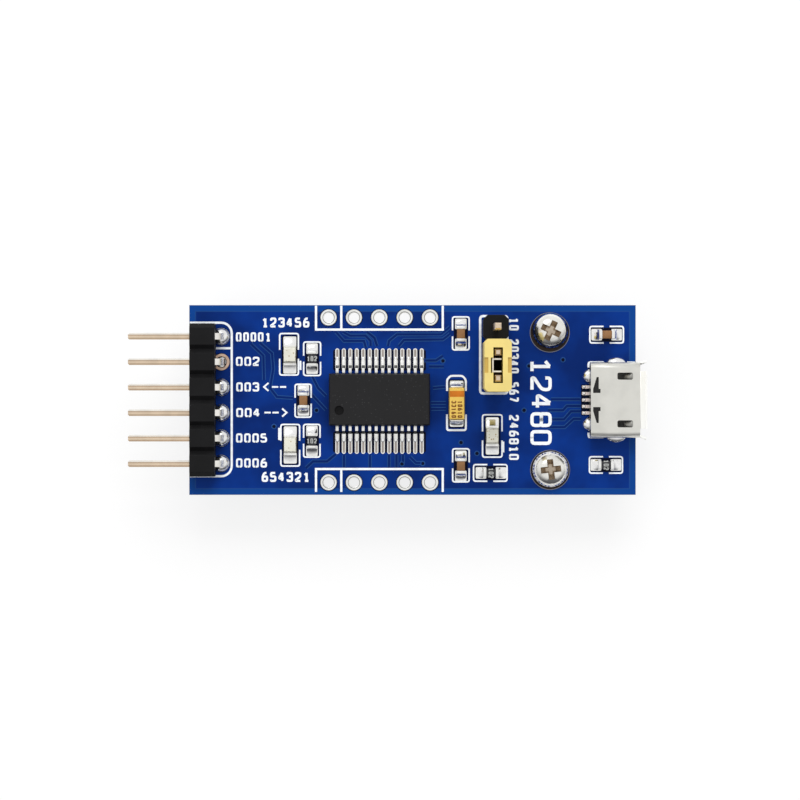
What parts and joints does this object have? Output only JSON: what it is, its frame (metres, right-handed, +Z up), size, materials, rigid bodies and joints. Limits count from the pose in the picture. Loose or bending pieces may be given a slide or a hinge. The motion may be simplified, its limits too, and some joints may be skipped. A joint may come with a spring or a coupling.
{
  "type": "serial adapter circuit module",
  "caption": "Small blue circuit board that turns a micro socket's data link into a serial port, with a right-angle pin header, a bridge chip and a jumper.",
  "frame": {"origin": "on the surface that the spacers' feet stand on, under the middle of the whole module", "axes": "+X along the board from the pin header to the socket's mouth, +Y across it towards the jumper, +Z up from the board's component face"},
  "size_m": [0.0516, 0.019, 0.0152],
  "materials": {
    "board_blue": "satin",
    "solder": "satin",
    "tin_plate": "polished",
    "gilt_pin": "satin",
    "black_plastic": "matte",
    "chip_black": "matte",
    "yellow_cap": "satin",
    "clip_bronze": "satin",
    "shell_steel": "satin",
    "screw_steel": "satin",
    "spacer_brass": "satin",
    "tantalum_yellow": "matte",
    "capacitor_brown": "matte",
    "resistor_black": "satin",
    "lamp_white": "matte",
    "lamp_clear": "gloss"
  },
  "bodies": {
    "board": {"capacitor_body_1": "capacitor_brown", "capacitor_body_2": "capacitor_brown", "capacitor_body_3": "capacitor_brown", "capacitor_body_4": "capacitor_brown", "capacitor_ends_1": "tin_plate", "capacitor_ends_2": "tin_plate", "capacitor_ends_3": "tin_plate", "capacitor_ends_4": "tin_plate", "chip_body": "chip_black", "chip_leads": "tin_plate", "component_solder": "solder", "header_block": "black_plastic", "header_pin_1": "gilt_pin", "header_pin_2": "gilt_pin", "header_pin_3": "gilt_pin", "header_pin_4": "gilt_pin", "header_pin_5": "gilt_pin", "header_pin_6": "gilt_pin", "jumper_block": "black_plastic", "jumper_post_1": "gilt_pin", "jumper_post_2": "gilt_pin", "jumper_post_3": "gilt_pin", "lamp_base_1": "lamp_white", "lamp_base_2": "lamp_white", "lamp_base_3": "lamp_white", "lamp_ends_1": "tin_plate", "lamp_ends_2": "tin_plate", "lamp_ends_3": "tin_plate", "lamp_lens_1": "lamp_clear", "lamp_lens_2": "lamp_clear", "lamp_lens_3": "lamp_clear", "pcb": "board_blue", "pin_solder": "solder", "resistor_body_1": "resistor_black", "resistor_body_2": "resistor_black", "resistor_body_3": "resistor_black", "resistor_body_4": "resistor_black", "resistor_ends_1": "tin_plate", "resistor_ends_2": "tin_plate", "resistor_ends_3": "tin_plate", "resistor_ends_4": "tin_plate", "screw_lower": "screw_steel", "screw_upper": "screw_steel", "socket_contact_1": "gilt_pin", "socket_contact_2": "gilt_pin", "socket_contact_3": "gilt_pin", "socket_contact_4": "gilt_pin", "socket_contact_5": "gilt_pin", "socket_insert": "black_plastic", "socket_shell": "shell_steel", "socket_solder": "solder", "spacer_lower": "spacer_brass", "spacer_upper": "spacer_brass", "tantalum_case": "tantalum_yellow", "tantalum_terminals": "tin_plate"},
    "jumper_cap": {"jumper_cap": "yellow_cap", "jumper_clip": "clip_bronze"}
  },
  "joints": [
    {"name": "jumper_pull", "type": "slide", "parent": "board", "child": "jumper_cap", "axis": [0, 0, 1], "range_m": [0, 0.0065]}
  ]
}
